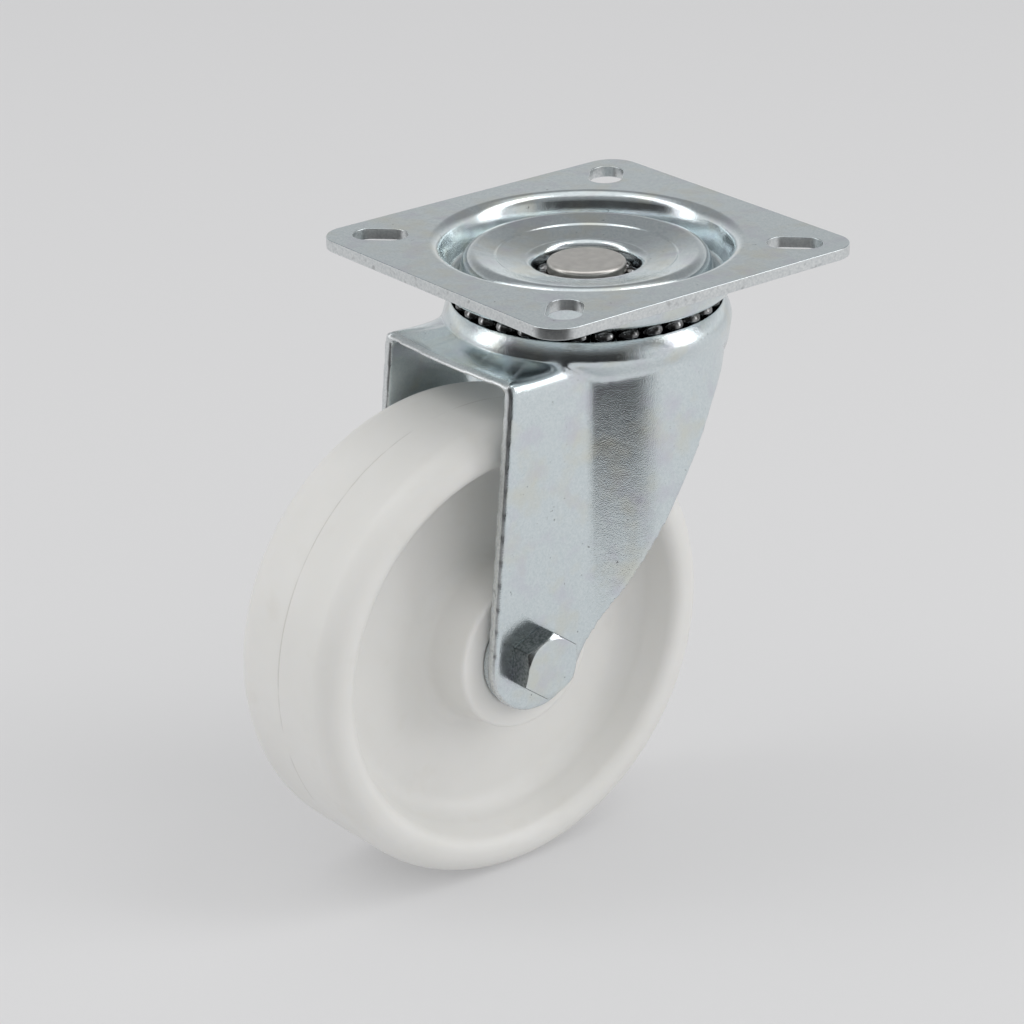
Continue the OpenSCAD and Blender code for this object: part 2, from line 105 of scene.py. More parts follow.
def node_material(name):
    """A new material, its node tree, its surface shader and the piece's own coordinates."""
    material = bpy.data.materials.new(name)
    material.use_nodes = True
    tree = material.node_tree
    shader = tree.nodes["Principled BSDF"]
    place = tree.nodes.new("ShaderNodeTexCoord").outputs["Object"]
    return material, tree, shader, place


def noise(tree, place, size, detail=2.0, seed=0.0):
    """Even noise whose lumps are about this size, in metres."""
    node = tree.nodes.new("ShaderNodeTexNoise")
    node.noise_dimensions = "4D"
    node.inputs["Scale"].default_value = 1 / size
    node.inputs["Detail"].default_value = detail
    node.inputs["W"].default_value = seed
    tree.links.new(place, node.inputs["Vector"])
    return node.outputs["Fac"]


def band(tree, value, low, high, to_low=0.0, to_high=1.0):
    """Maps a value's band from low to high onto another, and holds it there."""
    node = tree.nodes.new("ShaderNodeMapRange")
    node.inputs["From Min"].default_value = low
    node.inputs["From Max"].default_value = high
    node.inputs["To Min"].default_value = to_low
    node.inputs["To Max"].default_value = to_high
    tree.links.new(value, node.inputs["Value"])
    return node.outputs["Result"]


def maths(tree, operation, *values):
    """A maths node on sockets or plain numbers."""
    node = tree.nodes.new("ShaderNodeMath")
    node.operation = operation
    for socket, value in zip(node.inputs, values):
        if isinstance(value, bpy.types.NodeSocket):
            tree.links.new(value, socket)
        else:
            socket.default_value = value
    return node.outputs["Value"]


def blend_colour(tree, amount, first, second):
    """One colour where the amount is 0 and the other where it is 1; either may be a socket."""
    node = tree.nodes.new("ShaderNodeMix")
    node.data_type = "RGBA"
    tree.links.new(amount, node.inputs["Factor"])
    sockets = [socket for socket in node.inputs if socket.type == "RGBA"]
    for colour, socket in zip((first, second), sockets):
        if isinstance(colour, bpy.types.NodeSocket):
            tree.links.new(colour, socket)
        else:
            socket.default_value = (*colour, 1)
    return next(socket for socket in node.outputs if socket.type == "RGBA")


def bump(tree, height, depth, below=None):
    """A bump of this depth in metres, laid over another bump if one is given."""
    node = tree.nodes.new("ShaderNodeBump")
    node.inputs["Strength"].default_value = 1.0
    node.inputs["Distance"].default_value = depth
    tree.links.new(height, node.inputs["Height"])
    if below is not None:
        tree.links.new(below, node.inputs["Normal"])
    return node.outputs["Normal"]


def blend_vector(tree, amount, first, second):
    """One vector where the amount is 0 and the other where it is 1."""
    node = tree.nodes.new("ShaderNodeMix")
    node.data_type = "VECTOR"
    tree.links.new(amount, node.inputs["Factor"])
    sockets = [socket for socket in node.inputs if socket.type == "VECTOR" and socket.name in "AB"]
    for vector, socket in zip((first, second), sockets):
        tree.links.new(vector, socket)
    return next(socket for socket in node.outputs if socket.type == "VECTOR")


def plated_sheet(name, grain_depth, roughness, cut_dark=(0.60, 0.63, 0.64), cut_pale=(0.78, 0.80, 0.80)):
    """Zinc plating with a fine grain, faint tints and pits. Where cut is 1 it is rougher metal of two
    tones: a sheared edge's own by default, and painted shade where dark tones are given.
    """
    material, tree, shader, place = node_material(name)
    cool = (0.66, 0.735, 0.76)
    pale = (0.77, 0.83, 0.845)
    straw = (0.73, 0.745, 0.68)
    lilac = (0.67, 0.68, 0.75)
    mottle = band(tree, noise(tree, place, 0.6 * mm, 3, 1), 0.3, 0.7)
    colour = blend_colour(tree, mottle, cool, pale)
    tint = band(tree, noise(tree, place, 9 * mm, 4, 5), 0.50, 0.70, 0, 0.8)
    colour = blend_colour(tree, tint, colour, straw)
    other = band(tree, noise(tree, place, 8 * mm, 4, 9), 0.52, 0.72, 0, 0.8)
    colour = blend_colour(tree, other, colour, lilac)
    pits = band(tree, noise(tree, place, 1.2 * mm, 3, 13), 0.70, 0.75, 0, 0.75)
    pit_grey = (0.15, 0.16, 0.16)
    colour = blend_colour(tree, pits, colour, pit_grey)
    patches = band(tree, noise(tree, place, 3 * mm, 4, 3), 0.3, 0.7, roughness - 0.03, roughness + 0.05)
    peel = bump(tree, noise(tree, place, 3 * mm, 1, 17), grain_depth)
    grain = bump(tree, noise(tree, place, 0.25 * mm, 0, 21), grain_depth, peel)
    # Where cut is 1 the metal is rougher and takes the two given tones: bare sheared edges on the sheet,
    # painted shade on the bolt head's sides.
    cut = tree.nodes.new("ShaderNodeAttribute")
    cut.attribute_name = "cut"
    cut_and_shade_amount = band(tree, cut.outputs["Fac"], 0.35, 0.65)
    streaks = band(tree, noise(tree, place, 0.6 * mm, 3, 31), 0.3, 0.7)
    cut_and_shade_colour = blend_colour(tree, streaks, cut_dark, cut_pale)
    specks = band(tree, noise(tree, place, 2.2 * mm, 4, 35), 0.60, 0.72, 0, 0.4)
    speck_grey = (0.16, 0.16, 0.16)
    cut_and_shade_colour = blend_colour(tree, specks, cut_and_shade_colour, speck_grey)
    torn = bump(tree, noise(tree, place, 0.5 * mm, 3, 37), 0.025 * mm)
    tree.links.new(blend_colour(tree, cut_and_shade_amount, colour, cut_and_shade_colour), shader.inputs["Base Color"])
    shader.inputs["Metallic"].default_value = 1.0
    rougher = maths(tree, "MULTIPLY_ADD", cut_and_shade_amount, 0.16, patches)
    tree.links.new(rougher, shader.inputs["Roughness"])
    tree.links.new(blend_vector(tree, cut_and_shade_amount, grain, torn), shader.inputs["Normal"])
    return material


plate_zinc = plated_sheet("plate_zinc", 0.014 * mm, 0.16)
plate_flat_r = 42 * mm
plate = mesh_copy("top_plate", "fixing_plate")
round_edges(plate, 0.22 * mm)
plate.data.materials.append(plate_zinc)
plate_cut = plate.data.attributes.new("cut", "FLOAT", "FACE")
for face in plate.data.polygons:
    beyond_ring = face.center.to_2d().length > plate_flat_r
    plate_cut.data[face.index].value = beyond_ring and abs(face.normal.z) < 0.4
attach(plate, "plate")
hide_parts("top_plate")


# Ball rings
# Two rings of hardened steel balls carry the plate on the fork: large ones in the open track, small
# ones in the plate's cup under the king pin's head. They are polished, and their colour is painted dark:
# painted shade for the shadowed gap under the plate that they sit in.
def node_tree(name, sizes):
    """A Geometry Nodes tree with named sizes, and the nodes that its geometry comes in and goes out by."""
    tree = bpy.data.node_groups.new(name, "GeometryNodeTree")
    tree.interface.new_socket("Geometry", in_out="INPUT", socket_type="NodeSocketGeometry")
    for size, value in sizes.items():
        kind = "NodeSocketInt" if isinstance(value, int) else "NodeSocketFloat"
        tree.interface.new_socket(size, in_out="INPUT", socket_type=kind).default_value = value
    tree.interface.new_socket("Material", in_out="INPUT", socket_type="NodeSocketMaterial")
    tree.interface.new_socket("Geometry", in_out="OUTPUT", socket_type="NodeSocketGeometry")
    start = tree.nodes.new("NodeGroupInput")
    end = tree.nodes.new("NodeGroupOutput")
    return tree, start, end


def finish_tree(tree, start, end, geometry):
    """Ends a tree: instances made real, smooth faces and the material."""
    real = tree.nodes.new("GeometryNodeRealizeInstances")
    smooth = tree.nodes.new("GeometryNodeSetShadeSmooth")
    dressed = tree.nodes.new("GeometryNodeSetMaterial")
    tree.links.new(geometry, real.inputs["Geometry"])
    tree.links.new(real.outputs["Geometry"], smooth.inputs["Geometry"])
    tree.links.new(smooth.outputs["Geometry"], dressed.inputs["Geometry"])
    tree.links.new(start.outputs["Material"], dressed.inputs["Material"])
    tree.links.new(dressed.outputs["Geometry"], end.inputs["Geometry"])


def grown(name, tree, sizes, material, start_mesh=None):
    """An object whose mesh is what the tree makes with these sizes."""
    piece = bpy.data.objects.new(name, start_mesh or bpy.data.meshes.new(name))
    bpy.context.scene.collection.objects.link(piece)
    nodes = piece.modifiers.new("Nodes", "NODES")
    nodes.node_group = tree
    values = dict(sizes, Material=material)
    for socket in tree.interface.items_tree:
        if socket.in_out == "INPUT" and socket.name in values:
            nodes[socket.identifier] = values[socket.name]
    apply_modifiers(piece)
    return piece


ball_sizes = {"Ball Radius": 3.175 * mm, "Circle Radius": 31.8 * mm, "Height": -15.4 * mm, "Count": 31,
              "Start": math.radians(-99)}
ball_tree, start, end = node_tree("ball_ring", ball_sizes)
circle = ball_tree.nodes.new("GeometryNodeCurvePrimitiveCircle")
points = ball_tree.nodes.new("GeometryNodeCurveToPoints")
ball = ball_tree.nodes.new("GeometryNodeMeshIcoSphere")
ball.inputs["Subdivisions"].default_value = 4
placed = ball_tree.nodes.new("GeometryNodeInstanceOnPoints")
turned = ball_tree.nodes.new("GeometryNodeTransform")
turn = ball_tree.nodes.new("ShaderNodeCombineXYZ")
lift = ball_tree.nodes.new("ShaderNodeCombineXYZ")
ball_tree.links.new(start.outputs["Circle Radius"], circle.inputs["Radius"])
circle.inputs["Resolution"].default_value = 720
ball_tree.links.new(circle.outputs["Curve"], points.inputs["Curve"])
ball_tree.links.new(start.outputs["Count"], points.inputs["Count"])
ball_tree.links.new(start.outputs["Ball Radius"], ball.inputs["Radius"])
ball_tree.links.new(points.outputs["Points"], placed.inputs["Points"])
ball_tree.links.new(ball.outputs["Mesh"], placed.inputs["Instance"])
ball_tree.links.new(placed.outputs["Instances"], turned.inputs["Geometry"])
ball_tree.links.new(start.outputs["Start"], turn.inputs["Z"])
ball_tree.links.new(start.outputs["Height"], lift.inputs["Z"])
ball_tree.links.new(turn.outputs["Vector"], turned.inputs["Rotation"])
ball_tree.links.new(lift.outputs["Vector"], turned.inputs["Translation"])
finish_tree(ball_tree, start, end, turned.outputs["Geometry"])

ball_steel, tree, shader, place = node_material("ball_steel")
shader.inputs["Metallic"].default_value = 1.0
# Painted shade: both tones are far darker than steel, for the shadow in the gap under the plate.
gap_shade_patches = band(tree, noise(tree, place, 1.5 * mm, 3, 2), 0.35, 0.6)
gap_shade_dark = (0.03, 0.03, 0.028)
gap_shade_steel = (0.30, 0.302, 0.305)
tree.links.new(blend_colour(tree, gap_shade_patches, gap_shade_dark, gap_shade_steel), shader.inputs["Base Color"])
tree.links.new(band(tree, gap_shade_patches, 0, 1, 0.16, 0.07), shader.inputs["Roughness"])
main_ring = grown("large_balls", ball_tree, ball_sizes, ball_steel)
head_ball_sizes = {"Ball Radius": 2.38 * mm, "Circle Radius": 11.4 * mm, "Height": -10.6 * mm, "Count": 14,
                   "Start": math.radians(-60)}
head_ring = grown("small_balls", ball_tree, head_ball_sizes, ball_steel)
rings = ((main_ring, "main_ball_ring", "main_balls"), (head_ring, "head_ball_ring", "head_balls"))
for ring, body, node in rings:
    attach(ring, body)
    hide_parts(node)


# King pin
# A turned steel pin: its wide head holds the small balls down, and its end is riveted under the crown.
# The head's face keeps the lathe's rings.
pin_steel, tree, shader, place = node_material("pin_steel")
shader.inputs["Metallic"].default_value = 1.0
shade = band(tree, noise(tree, place, 2.5 * mm, 4, 2), 0.3, 0.7)
warm_grey = (0.66, 0.635, 0.60)
pale_straw = (0.80, 0.775, 0.735)
tree.links.new(blend_colour(tree, shade, warm_grey, pale_straw), shader.inputs["Base Color"])
tree.links.new(band(tree, shade, 0, 1, 0.34, 0.44), shader.inputs["Roughness"])
across = tree.nodes.new("ShaderNodeVectorMath")
across.operation = "MULTIPLY"
across.inputs[1].default_value = (1, 1, 0)
tree.links.new(place, across.inputs[0])
reach = tree.nodes.new("ShaderNodeVectorMath")
reach.operation = "LENGTH"
tree.links.new(across.outputs["Vector"], reach.inputs[0])
ring_pitch = 0.45 * mm
wave = maths(tree, "SINE", maths(tree, "MULTIPLY", reach.outputs["Value"], 2 * math.pi / ring_pitch))
tree.links.new(bump(tree, wave, 0.006 * mm), shader.inputs["Normal"])
pin = mesh_copy("kingpin", "riveted_pin")
round_edges(pin, 0.5 * mm, 40)
pin.data.materials.append(pin_steel)
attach(pin, "fork_body")
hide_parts("kingpin")
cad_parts["pin_washer"].data.materials.clear()
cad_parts["pin_washer"].data.materials.append(pin_steel)


# Fork
# Crown, deck and legs are one 3 mm sheet: the crown is drawn up round the ball track, the legs are folded
# down with an upright bulge pressed into each, and the sheet is plated like the plate.
voxel = 0.6 * mm
fork = mesh_copy("fork", "pressed_fork")
cells = fork.modifiers.new("Cells", "REMESH")
cells.mode = "VOXEL"
cells.voxel_size = voxel
apply_modifiers(fork)


def ramp(value, start, end):
    """0 up to the start, 1 from the end, and even in between; the end may lie below the start."""
    return min(1.0, max(0.0, (value - start) / (end - start)))


# The rolled rim leans in towards its crest. The fork's heights and radii from here on are in millimetres
rim_z = -21
rim_r = 37.6
rim_lean = 0.065
track_edge_r = 34.5
for vertex in fork.data.vertices:
    x, y, z = vertex.co / mm
    reach = math.hypot(x, y)
    if z > rim_z and reach > track_edge_r:
        kept = min(reach, rim_r - rim_lean * (z - rim_z) ** 2)
        vertex.co.x *= kept / reach
        vertex.co.y *= kept / reach

# Press and fold leave soft blends: most of all at the neck, and where the fold runs into the crown
soft_group = fork.vertex_groups.new(name="sheet")
neck_group = fork.vertex_groups.new(name="neck")
corner_group = fork.vertex_groups.new(name="corner")
for vertex in fork.data.vertices:
    x, y, z = vertex.co / mm
    reach = math.hypot(x, y)
    off_track = ramp(reach, 35.0, 35.6) if z > rim_z else 1.0
    soft_group.add([vertex.index], off_track, "REPLACE")
    neck = ramp(reach, 27, 30) * ramp(z, -34, -30) * ramp(z, -18, -20)
    neck_group.add([vertex.index], neck, "REPLACE")
    corner = ramp(reach, 36.2, 37.8) * ramp(x, -44, -37) * ramp(x, -3, -8) * ramp(abs(y), 9, 15)
    corner *= ramp(z, -32, -27) * ramp(z, -16.5, -18)
    corner_group.add([vertex.index], corner, "REPLACE")
for group, rounds in (("sheet", 6), ("neck", 3), ("corner", 34)):
    soft = fork.modifiers.new(group, "SMOOTH")
    soft.factor = 0.5
    soft.iterations = rounds
    soft.vertex_group = group
apply_modifiers(fork)
fork.vertex_groups.clear()
fork.data.shade_smooth()
fork.data.materials.append(plated_sheet("fork_zinc", 0.030 * mm, 0.16))

# The sheared edges: the legs' round ends, the edges that face backwards, and the slanting ones ahead
axle_x, axle_z = -39, -98
leg_end_r = 13.4
below_deck_z = -23.5
fork_cut = fork.data.attributes.new("cut", "FLOAT", "POINT")
for vertex in fork.data.vertices:
    x, y, z = vertex.co / mm
    facing = vertex.normal
    across_sheet = ramp(abs(facing.y), 0.95, 0.75)
    on_end = z < axle_z and math.hypot(x - axle_x, z - axle_z) > leg_end_r
    on_back = x < -36 and facing.x < -0.3 and (z < below_deck_z or x < -43)
    on_slant = z < -26 and x > -30 and facing.z < -0.2 and facing.x > 0.25
    fork_cut.data[vertex.index].value = across_sheet if on_end or on_back or on_slant else 0.0
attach(fork, "fork_body")
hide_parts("fork")


# Wheel
# Moulded in one piece with its tread from off-white plastic, with a satin skin. The two halves of the
# mould leave a faint line round the middle of the tread.
wheel_plastic, tree, shader, place = node_material("wheel_plastic")
mottle = band(tree, noise(tree, place, 22 * mm, 3, 4), 0.35, 0.65)
off_white = (0.76, 0.755, 0.73)
paler_white = (0.79, 0.785, 0.765)
colour = blend_colour(tree, mottle, off_white, paler_white)
grime = band(tree, noise(tree, place, 9 * mm, 4, 11), 0.60, 0.78, 0, 0.25)
grime_colour = (0.66, 0.63, 0.57)
colour = blend_colour(tree, grime, colour, grime_colour)
side = tree.nodes.new("ShaderNodeSeparateXYZ")
tree.links.new(place, side.inputs["Vector"])
off_middle = maths(tree, "ABSOLUTE", side.outputs["Y"])
line = band(tree, off_middle, 0.10 * mm, 0.30 * mm, 1, 0)
broken = band(tree, noise(tree, place, 12 * mm, 2, 8), 0.42, 0.55)
line = maths(tree, "MULTIPLY", line, broken)
line_colour = (0.5, 0.48, 0.44)
colour = blend_colour(tree, maths(tree, "MULTIPLY", line, 0.45), colour, line_colour)
tree.links.new(colour, shader.inputs["Base Color"])
satin = band(tree, noise(tree, place, 4 * mm, 3, 6), 0.3, 0.7, 0.36, 0.46)
tree.links.new(satin, shader.inputs["Roughness"])
shader.inputs["Subsurface Weight"].default_value = 0.2
shader.inputs["Subsurface Radius"].default_value = (1.0, 0.9, 0.75)
shader.inputs["Subsurface Scale"].default_value = 4 * mm
skin = bump(tree, noise(tree, place, 3.5 * mm, 3, 15), 0.03 * mm)
tree.links.new(bump(tree, line, 0.06 * mm, skin), shader.inputs["Normal"])


def round_stretch(mid_r, mid_y, round_r, start, stop, steps=8):
    """Points of a rounded stretch of a section, as (radius, distance from the middle) in millimetres."""
    angles = [math.radians(start + (stop - start) * step / steps) for step in range(steps + 1)]
    return [(mid_r + round_r * math.cos(angle), mid_y + round_r * math.sin(angle)) for angle in angles]


half_section = [(13.3, 19.5), (13.4, 19.6), (13.4, 21.3), (13.6, 21.5)]
half_section += round_stretch(19.5, 20.5, 1.0, 90, 0, 4)
half_section += round_stretch(26.0, 11.0, 4.5, 180, 270)
half_section += round_stretch(43.8, 13.0, 6.5, 270, 352)
half_section += round_stretch(55.6, 16.2, 3.8, 168, 90)
half_section += round_stretch(55.7, 13.2, 6.8, 90, 6)
half_section += [(62.5, 10.0), (62.5, 0.4), (62.56, 0.15)]
whole_section = half_section + [(reach, -across) for reach, across in reversed(half_section)]
section = bpy.data.meshes.new("wheel_section")
section.from_pydata([(reach * mm, 0, across * mm) for reach, across in whole_section],
                    [(i, i + 1) for i in range(len(whole_section) - 1)], [])

lathe_sizes = {"Along": 300, "Around": 240, "Axle Drop": -98 * mm, "Trail": -39 * mm}
lathe, start, end = node_tree("wheel_lathe", lathe_sizes)
curve = lathe.nodes.new("GeometryNodeMeshToCurve")
lathe.links.new(start.outputs["Geometry"], curve.inputs["Mesh"])
sheet = lathe.nodes.new("GeometryNodeMeshGrid")
sheet.inputs["Size X"].default_value = 1
sheet.inputs["Size Y"].default_value = 1
lathe.links.new(start.outputs["Along"], sheet.inputs["Vertices X"])
lathe.links.new(start.outputs["Around"], sheet.inputs["Vertices Y"])
flat_place = lathe.nodes.new("GeometryNodeInputPosition")
split = lathe.nodes.new("ShaderNodeSeparateXYZ")
lathe.links.new(flat_place.outputs["Position"], split.inputs["Vector"])
sample = lathe.nodes.new("GeometryNodeSampleCurve")
sample.mode = "FACTOR"
lathe.links.new(curve.outputs["Curve"], sample.inputs["Curves"])
lathe.links.new(maths(lathe, "ADD", split.outputs["X"], 0.5), sample.inputs["Factor"])
spin_angle = maths(lathe, "MULTIPLY", maths(lathe, "ADD", split.outputs["Y"], 0.5), 2 * math.pi)
on_section = lathe.nodes.new("ShaderNodeSeparateXYZ")
lathe.links.new(sample.outputs["Position"], on_section.inputs["Vector"])
ahead = maths(lathe, "MULTIPLY", on_section.outputs["X"], maths(lathe, "COSINE", spin_angle))
upward = maths(lathe, "MULTIPLY", on_section.outputs["X"], maths(lathe, "SINE", spin_angle))
turned_place = lathe.nodes.new("ShaderNodeCombineXYZ")
lathe.links.new(maths(lathe, "ADD", ahead, start.outputs["Trail"]), turned_place.inputs["X"])
lathe.links.new(on_section.outputs["Z"], turned_place.inputs["Y"])
lathe.links.new(maths(lathe, "ADD", upward, start.outputs["Axle Drop"]), turned_place.inputs["Z"])
laid = lathe.nodes.new("GeometryNodeSetPosition")
lathe.links.new(sheet.outputs["Mesh"], laid.inputs["Geometry"])
lathe.links.new(turned_place.outputs["Vector"], laid.inputs["Position"])
joined = lathe.nodes.new("GeometryNodeMergeByDistance")
joined.inputs["Distance"].default_value = 0.001 * mm
lathe.links.new(laid.outputs["Geometry"], joined.inputs["Geometry"])
finish_tree(lathe, start, end, joined.outputs["Geometry"])
wheel = grown("moulded_wheel", lathe, lathe_sizes, wheel_plastic, section)
form = bmesh.new()
form.from_mesh(wheel.data)
bmesh.ops.recalc_face_normals(form, faces=form.faces)
form.to_mesh(wheel.data)
form.free()
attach(wheel, "wheel_body")
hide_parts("wheel")


# Bearing
# The hub holds a steel sleeve, a plastic cage with ground rollers and a steel tube, closed by a plastic
# ring at each end. Steel washers fill the room between the hub and the legs.
def dressed(name, nodes, first, second, lump, roughness, metallic):
    """Gives these CAD nodes a material of two mixed tones."""
    material, tree, shader, place = node_material(name)
    tone = band(tree, noise(tree, place, lump, 4, 3), 0.3, 0.7)
    tree.links.new(blend_colour(tree, tone, first, second), shader.inputs["Base Color"])
    spread = band(tree, tone, 0, 1, roughness, roughness + 0.08)
    tree.links.new(spread, shader.inputs["Roughness"])
    shader.inputs["Metallic"].default_value = metallic
    skin = bump(tree, noise(tree, place, lump / 4, 2, 7), 0.01 * mm)
    tree.links.new(skin, shader.inputs["Normal"])
    for node in nodes:
        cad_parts[node].data.materials.clear()
        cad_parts[node].data.materials.append(material)


dressed("ground_steel", ("bearing_sleeve", "rollers", "axle_tube"),
        (0.46, 0.46, 0.45), (0.62, 0.62, 0.61), lump=3 * mm, roughness=0.18, metallic=1.0)
dressed("washer_zinc", ("near_washer", "far_washer", "nut_washer"),
        (0.62, 0.68, 0.70), (0.74, 0.78, 0.79), lump=1.2 * mm, roughness=0.22, metallic=1.0)
dressed("cage_plastic", ("roller_cage",),
        (0.015, 0.017, 0.018), (0.03, 0.033, 0.035), lump=2 * mm, roughness=0.45, metallic=0.0)
dressed("cap_plastic", ("near_cap", "far_cap"),
        (0.10, 0.105, 0.11), (0.16, 0.165, 0.17), lump=2 * mm, roughness=0.5, metallic=0.0)


# Axle bolt
# A cold-headed M10 bolt, brighter than the sheet. Its head's corners are turned off, and its sides are
# painted dark: painted shade for the dark reflections they show. Its face is bare, and its rolled thread
# shows beyond the nut.
# Painted shade: the dark tones given here colour the head's sides, for the dark reflections they show.
bolt_zinc = plated_sheet("bolt_zinc", 0.008 * mm, 0.15,
                         cut_dark=(0.11, 0.125, 0.125), cut_pale=(0.36, 0.38, 0.38))
thread_from, thread_to = 38.3 * mm, 42.9 * mm
thread_core_r = 4.2 * mm
thread_crest_r = 4.95 * mm
thread_pitch = 1.5 * mm
bolt = mesh_copy("axle_bolt", "bolt")
form = bmesh.new()
form.from_mesh(bolt.data)
for cut_y in (thread_from, thread_from + 0.3 * mm):
    every = form.verts[:] + form.edges[:] + form.faces[:]
    bmesh.ops.bisect_plane(form, geom=every, plane_co=(0, cut_y, 0), plane_no=(0, 1, 0))
for vertex in form.verts:
    if vertex.co.y > thread_from + 0.1 * mm:
        arm = vertex.co - Vector((axle_x * mm, vertex.co.y, axle_z * mm))
        if arm.length > thread_core_r:
            arm.length = thread_core_r
        vertex.co.x = axle_x * mm + arm.x
        vertex.co.z = axle_z * mm + arm.z
form.to_mesh(bolt.data)
form.free()
round_edges(bolt, 0.22 * mm, 20)
bolt.data.materials.append(bolt_zinc)
# Marks the head's sides, which take the painted shade.
bolt_cut = bolt.data.attributes.new("cut", "FLOAT", "FACE")
for face in bolt.data.polygons:
    bolt_cut.data[face.index].value = face.center.y < 0 and abs(face.normal.y) < 0.8

thread_turns = (thread_to - thread_from) / thread_pitch
thread_sizes = {"Crest Radius": thread_crest_r, "Ridge": 0.62 * mm, "Turns": thread_turns,
                "Length": thread_to - thread_from - 0.8 * mm}
thread_tree, start, end = node_tree("bolt_thread", thread_sizes)
helix = thread_tree.nodes.new("GeometryNodeCurveSpiral")
helix.inputs["Resolution"].default_value = 72
thread_tree.links.new(start.outputs["Turns"], helix.inputs["Rotations"])
helix_r = maths(thread_tree, "SUBTRACT", start.outputs["Crest Radius"], start.outputs["Ridge"])
thread_tree.links.new(helix_r, helix.inputs["Start Radius"])
thread_tree.links.new(helix_r, helix.inputs["End Radius"])
thread_tree.links.new(start.outputs["Length"], helix.inputs["Height"])
ridge = thread_tree.nodes.new("GeometryNodeCurvePrimitiveCircle")
ridge.inputs["Resolution"].default_value = 4
thread_tree.links.new(start.outputs["Ridge"], ridge.inputs["Radius"])
swept = thread_tree.nodes.new("GeometryNodeCurveToMesh")
swept.inputs["Fill Caps"].default_value = True
thread_tree.links.new(helix.outputs["Curve"], swept.inputs["Curve"])
thread_tree.links.new(ridge.outputs["Curve"], swept.inputs["Profile Curve"])
seated = thread_tree.nodes.new("GeometryNodeTransform")
seated.inputs["Rotation"].default_value = (math.radians(-90), 0, 0)
seated.inputs["Translation"].default_value = (axle_x * mm, thread_from + 0.4 * mm, axle_z * mm)
thread_tree.links.new(swept.outputs["Mesh"], seated.inputs["Geometry"])
finish_tree(thread_tree, start, end, seated.outputs["Geometry"])
thread = grown("bolt_thread", thread_tree, thread_sizes, bolt_zinc)
for piece in (bolt, thread):
    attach(piece, "fork_body")
    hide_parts("axle_bolt")


# Lock nut
# A hexagonal nut with a round collar, which is rolled in over a blue plastic ring that grips the thread.
nut = mesh_copy("lock_nut", "nut")
round_edges(nut, 0.2 * mm, 20)
nut.data.materials.append(bolt_zinc)
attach(nut, "fork_body")
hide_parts("lock_nut")
dressed("insert_plastic", ("nut_insert",),
        (0.02, 0.07, 0.26), (0.03, 0.09, 0.32), lump=1.5 * mm, roughness=0.35, metallic=0.0)


# Floor
# A plain pale studio floor, lit a little from below, that fills the view and keeps the castor's soft shadow.
# Towards the camera the lit part ends, and the plated steel mirrors the dark studio beyond it.
dark_heading = math.radians(-147)
dark_way = (math.cos(dark_heading), math.sin(dark_heading), 0)
floor_z = cad_low.z
floor_half = 6.0
corner_ways = ((-1, -1), (1, -1), (1, 1), (-1, 1))
corners = [(x * floor_half, y * floor_half, floor_z) for x, y in corner_ways]
floor_mesh = bpy.data.meshes.new("studio_floor")
floor_mesh.from_pydata(corners, [], [(0, 1, 2, 3)])
floor = bpy.data.objects.new("studio_floor", floor_mesh)
bpy.context.scene.collection.objects.link(floor)


def away_share(tree, place):
    """How squarely a place lies towards the dark part of the studio, from -1 to 1, and how far off it is."""
    level = tree.nodes.new("ShaderNodeVectorMath")
    level.operation = "MULTIPLY"
    level.inputs[1].default_value = (1, 1, 0)
    tree.links.new(place, level.inputs[0])
    far = tree.nodes.new("ShaderNodeVectorMath")
    far.operation = "LENGTH"
    tree.links.new(level.outputs["Vector"], far.inputs[0])
    along = tree.nodes.new("ShaderNodeVectorMath")
    along.operation = "DOT_PRODUCT"
    along.inputs[1].default_value = dark_way
    tree.links.new(level.outputs["Vector"], along.inputs[0])
    return maths(tree, "DIVIDE", along.outputs["Value"], far.outputs["Value"]), far.outputs["Value"]


floor_paint, tree, shader, place = node_material("floor_paint")
share, far = away_share(tree, place)
unlit = maths(tree, "MULTIPLY", band(tree, share, 0.40, 0.70), band(tree, far, 0.25, 0.35))
ray = tree.nodes.new("ShaderNodeLightPath")
mirrored = maths(tree, "MULTIPLY", unlit, ray.outputs["Is Glossy Ray"])
lit_paint = (0.51, 0.51, 0.515)
unlit_paint = (0.02, 0.02, 0.021)
paint = blend_colour(tree, mirrored, lit_paint, unlit_paint)
tree.links.new(paint, shader.inputs["Base Color"])
tree.links.new(paint, shader.inputs["Emission Color"])
shader.inputs["Emission Strength"].default_value = 0.40
shader.inputs["Roughness"].default_value = 0.9
shader.inputs["Specular IOR Level"].default_value = 0.1
floor_mesh.materials.append(floor_paint)


# Light
# Two tall soft boxes stand to the left and the right, and a weak one in front that no metal mirrors. The
# room gives an even light. In the metal's reflections its ceiling and the foot of its walls are pale, and it
# is dark towards the camera.
middle = Vector((-0.02, 0.0, -0.06))


def soft_box(name, heading, height, distance, width, tall, power):
    """A soft lamp at this heading and height, in degrees, that faces the castor's middle."""
    turn, lift = math.radians(heading), math.radians(height)
    level = math.cos(lift) * distance
    place = middle + Vector((level * math.cos(turn), level * math.sin(turn), math.sin(lift) * distance))
    lamp = bpy.data.lights.new(name, "AREA")
    lamp.shape = "RECTANGLE"
    lamp.size = width
    lamp.size_y = tall
    lamp.energy = power
    holder = bpy.data.objects.new(name, lamp)
    aim = (middle - place).to_track_quat("-Z", "Y").to_matrix().to_4x4()
    holder.matrix_world = Matrix.Translation(place) @ aim
    bpy.context.scene.collection.objects.link(holder)
    return holder


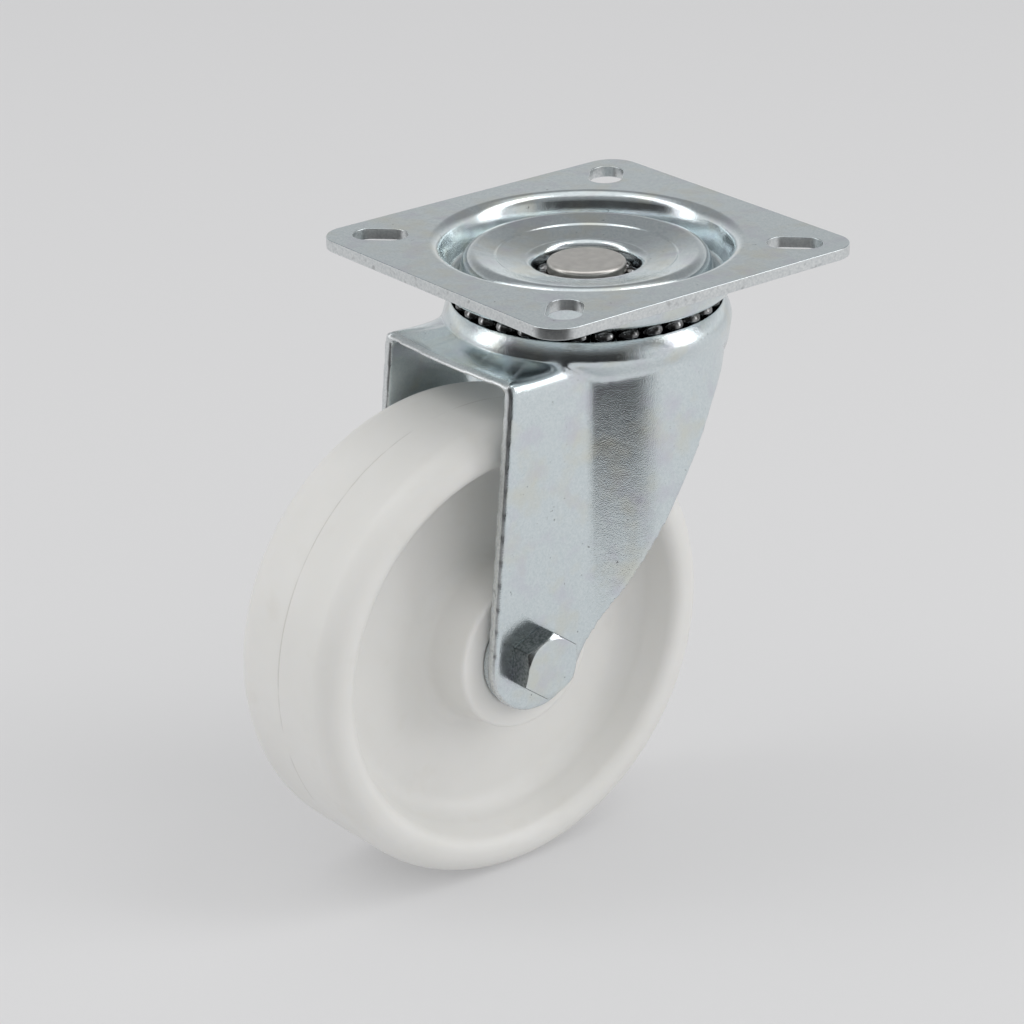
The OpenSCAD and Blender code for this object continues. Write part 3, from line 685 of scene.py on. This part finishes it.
soft_box("right_box", heading=-46, height=38, distance=1.5, width=0.60, tall=2.1, power=7.4)
soft_box("left_box", heading=144, height=38, distance=1.5, width=0.55, tall=2.1, power=5.2)
fill = soft_box("fill_box", heading=-100, height=22, distance=1.5, width=1.2, tall=1.2, power=1.6)
fill.visible_glossy = False

world = bpy.data.worlds.new("studio")
world.use_nodes = True
bpy.context.scene.world = world
tree = world.node_tree
back = tree.nodes["Background"]
way = tree.nodes.new("ShaderNodeTexCoord").outputs["Generated"]
share = away_share(tree, way)[0]
parts = tree.nodes.new("ShaderNodeSeparateXYZ")
tree.links.new(way, parts.inputs["Vector"])
low_down = band(tree, parts.outputs["Z"], 0.30, 0.62, 1, 0)
dark = maths(tree, "MULTIPLY", band(tree, share, 0.40, 0.70), low_down)
horizon = band(tree, parts.outputs["Z"], 0.10, 0.50, 1, 0)
upper_wall = (0.30, 0.305, 0.31)
lower_wall = (0.78, 0.785, 0.79)
room = blend_colour(tree, horizon, upper_wall, lower_wall)
overhead = band(tree, parts.outputs["Z"], 0.80, 0.95)
ceiling = (0.95, 0.95, 0.95)
room = blend_colour(tree, overhead, room, ceiling)
dark_side = (0.05, 0.05, 0.05)
room = blend_colour(tree, dark, room, dark_side)
ray = tree.nodes.new("ShaderNodeLightPath")
even = (0.67, 0.67, 0.67)
tree.links.new(blend_colour(tree, ray.outputs["Is Glossy Ray"], even, room), back.inputs["Color"])
back.inputs["Strength"].default_value = 1.0
bpy.context.scene.view_settings.view_transform = "Standard"


# Camera
# A long lens looks at the castor from the bolt's side and from behind, a little above the plate. Its place
# and its angles were solved from the plate's corners and the wheel's circles in the photograph.
camera_place = Vector((-0.5711, -0.6912, 0.3062))
camera_heading = 38.273
camera_pitch = 23.095
camera_roll = -0.907
lens = bpy.data.cameras.new("camera")
lens.lens = 129.3
lens.sensor_width = 36
camera = bpy.data.objects.new("camera", lens)
camera.matrix_world = (Matrix.Translation(camera_place)
                       @ Matrix.Rotation(math.radians(-camera_heading), 4, "Z")
                       @ Matrix.Rotation(math.radians(90 - camera_pitch), 4, "X")
                       @ Matrix.Rotation(math.radians(camera_roll), 4, "Z"))
bpy.context.scene.collection.objects.link(camera)
bpy.context.scene.camera = camera
